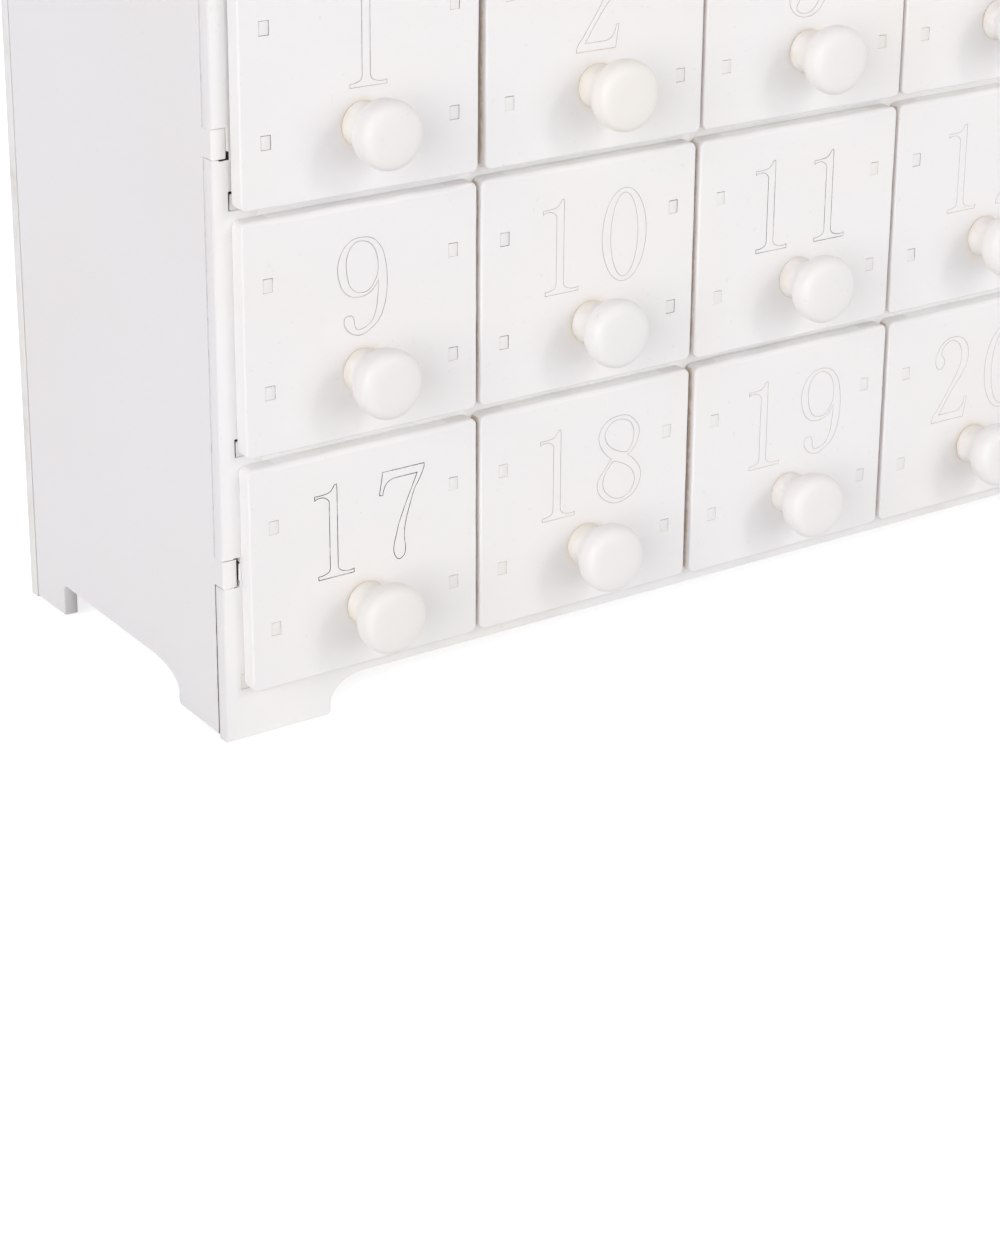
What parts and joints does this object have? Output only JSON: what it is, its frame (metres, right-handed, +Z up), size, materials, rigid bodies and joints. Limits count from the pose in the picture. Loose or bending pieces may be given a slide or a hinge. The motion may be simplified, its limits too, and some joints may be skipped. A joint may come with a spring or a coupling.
{
  "type": "light-up advent calendar",
  "caption": "White sheet-wood cabinet of small numbered pull-out drawers with round knobs, under layered village skylines lit by a battery-powered light string.",
  "frame": {"origin": "on the ground plane, in the middle of the footprint, which runs from the faces of the knobs to the cap of the switch on the battery box", "axes": "+X along the front, to the right as seen from the front; +Y from the front to the back; +Z up"},
  "size_m": [0.4096, 0.119, 0.2983],
  "materials": {
    "cabinet_white": "fibreboard sheet in matt white paint, laser cut",
    "drawer_white": "fibreboard in matt white paint, softened edges, engraved outline numerals",
    "knob_white": "turned wood in satin white paint",
    "lamp": "warm white clear bulbs on a fine lead",
    "box_plastic": "moulded, fine matt texture",
    "switch_plastic": "moulded, satin",
    "cell_sleeve": "printed sleeve, plain, satin"
  },
  "bodies": {
    "cabinet": {"front_frame": "cabinet_white", "left_side": "cabinet_white", "right_side": "cabinet_white", "back_panel": "cabinet_white", "shelf_crate": "cabinet_white", "village_layer": "cabinet_white", "light_string": "lamp", "battery_box": "box_plastic", "cell_left": "cell_sleeve", "cell_right": "cell_sleeve"},
    "drawer_01": {"drawer_01": "drawer_white", "knob_01": "knob_white"},
    "drawer_02": {"drawer_02": "drawer_white", "knob_02": "knob_white"},
    "drawer_03": {"drawer_03": "drawer_white", "knob_03": "knob_white"},
    "drawer_04": {"drawer_04": "drawer_white", "knob_04": "knob_white"},
    "drawer_05": {"drawer_05": "drawer_white", "knob_05": "knob_white"},
    "drawer_06": {"drawer_06": "drawer_white", "knob_06": "knob_white"},
    "drawer_07": {"drawer_07": "drawer_white", "knob_07": "knob_white"},
    "drawer_08": {"drawer_08": "drawer_white", "knob_08": "knob_white"},
    "drawer_09": {"drawer_09": "drawer_white", "knob_09": "knob_white"},
    "drawer_10": {"drawer_10": "drawer_white", "knob_10": "knob_white"},
    "drawer_11": {"drawer_11": "drawer_white", "knob_11": "knob_white"},
    "drawer_12": {"drawer_12": "drawer_white", "knob_12": "knob_white"},
    "drawer_13": {"drawer_13": "drawer_white", "knob_13": "knob_white"},
    "drawer_14": {"drawer_14": "drawer_white", "knob_14": "knob_white"},
    "drawer_15": {"drawer_15": "drawer_white", "knob_15": "knob_white"},
    "drawer_16": {"drawer_16": "drawer_white", "knob_16": "knob_white"},
    "drawer_17": {"drawer_17": "drawer_white", "knob_17": "knob_white"},
    "drawer_18": {"drawer_18": "drawer_white", "knob_18": "knob_white"},
    "drawer_19": {"drawer_19": "drawer_white", "knob_19": "knob_white"},
    "drawer_20": {"drawer_20": "drawer_white", "knob_20": "knob_white"},
    "drawer_21": {"drawer_21": "drawer_white", "knob_21": "knob_white"},
    "drawer_22": {"drawer_22": "drawer_white", "knob_22": "knob_white"},
    "drawer_23": {"drawer_23": "drawer_white", "knob_23": "knob_white"},
    "drawer_24": {"drawer_24": "drawer_white", "knob_24": "knob_white"},
    "battery_cover": {"battery_cover": "box_plastic"},
    "switch_slider": {"switch_slider": "switch_plastic"}
  },
  "joints": [
    {"name": "drawer_01_slide", "type": "slide", "parent": "cabinet", "child": "drawer_01", "axis": [0, -1, 0], "range_m": [0, 0.06]},
    {"name": "drawer_02_slide", "type": "slide", "parent": "cabinet", "child": "drawer_02", "axis": [0, -1, 0], "range_m": [0, 0.06]},
    {"name": "drawer_03_slide", "type": "slide", "parent": "cabinet", "child": "drawer_03", "axis": [0, -1, 0], "range_m": [0, 0.06]},
    {"name": "drawer_04_slide", "type": "slide", "parent": "cabinet", "child": "drawer_04", "axis": [0, -1, 0], "range_m": [0, 0.06]},
    {"name": "drawer_05_slide", "type": "slide", "parent": "cabinet", "child": "drawer_05", "axis": [0, -1, 0], "range_m": [0, 0.06]},
    {"name": "drawer_06_slide", "type": "slide", "parent": "cabinet", "child": "drawer_06", "axis": [0, -1, 0], "range_m": [0, 0.06]},
    {"name": "drawer_07_slide", "type": "slide", "parent": "cabinet", "child": "drawer_07", "axis": [0, -1, 0], "range_m": [0, 0.06]},
    {"name": "drawer_08_slide", "type": "slide", "parent": "cabinet", "child": "drawer_08", "axis": [0, -1, 0], "range_m": [0, 0.06]},
    {"name": "drawer_09_slide", "type": "slide", "parent": "cabinet", "child": "drawer_09", "axis": [0, -1, 0], "range_m": [0, 0.06]},
    {"name": "drawer_10_slide", "type": "slide", "parent": "cabinet", "child": "drawer_10", "axis": [0, -1, 0], "range_m": [0, 0.06]},
    {"name": "drawer_11_slide", "type": "slide", "parent": "cabinet", "child": "drawer_11", "axis": [0, -1, 0], "range_m": [0, 0.06]},
    {"name": "drawer_12_slide", "type": "slide", "parent": "cabinet", "child": "drawer_12", "axis": [0, -1, 0], "range_m": [0, 0.06]},
    {"name": "drawer_13_slide", "type": "slide", "parent": "cabinet", "child": "drawer_13", "axis": [0, -1, 0], "range_m": [0, 0.06]},
    {"name": "drawer_14_slide", "type": "slide", "parent": "cabinet", "child": "drawer_14", "axis": [0, -1, 0], "range_m": [0, 0.06]},
    {"name": "drawer_15_slide", "type": "slide", "parent": "cabinet", "child": "drawer_15", "axis": [0, -1, 0], "range_m": [0, 0.06]},
    {"name": "drawer_16_slide", "type": "slide", "parent": "cabinet", "child": "drawer_16", "axis": [0, -1, 0], "range_m": [0, 0.06]},
    {"name": "drawer_17_slide", "type": "slide", "parent": "cabinet", "child": "drawer_17", "axis": [0, -1, 0], "range_m": [0, 0.06]},
    {"name": "drawer_18_slide", "type": "slide", "parent": "cabinet", "child": "drawer_18", "axis": [0, -1, 0], "range_m": [0, 0.06]},
    {"name": "drawer_19_slide", "type": "slide", "parent": "cabinet", "child": "drawer_19", "axis": [0, -1, 0], "range_m": [0, 0.06]},
    {"name": "drawer_20_slide", "type": "slide", "parent": "cabinet", "child": "drawer_20", "axis": [0, -1, 0], "range_m": [0, 0.06]},
    {"name": "drawer_21_slide", "type": "slide", "parent": "cabinet", "child": "drawer_21", "axis": [0, -1, 0], "range_m": [0, 0.06]},
    {"name": "drawer_22_slide", "type": "slide", "parent": "cabinet", "child": "drawer_22", "axis": [0, -1, 0], "range_m": [0, 0.06]},
    {"name": "drawer_23_slide", "type": "slide", "parent": "cabinet", "child": "drawer_23", "axis": [0, -1, 0], "range_m": [0, 0.06]},
    {"name": "drawer_24_slide", "type": "slide", "parent": "cabinet", "child": "drawer_24", "axis": [0, -1, 0], "range_m": [0, 0.06]},
    {"name": "battery_cover_slide", "type": "slide", "parent": "cabinet", "child": "battery_cover", "axis": [0, 0, -1], "range_m": [0, 0.05]},
    {"name": "switch_slide", "type": "slide", "parent": "cabinet", "child": "switch_slider", "axis": [1, 0, 0], "range_m": [0, 0.003]}
  ]
}
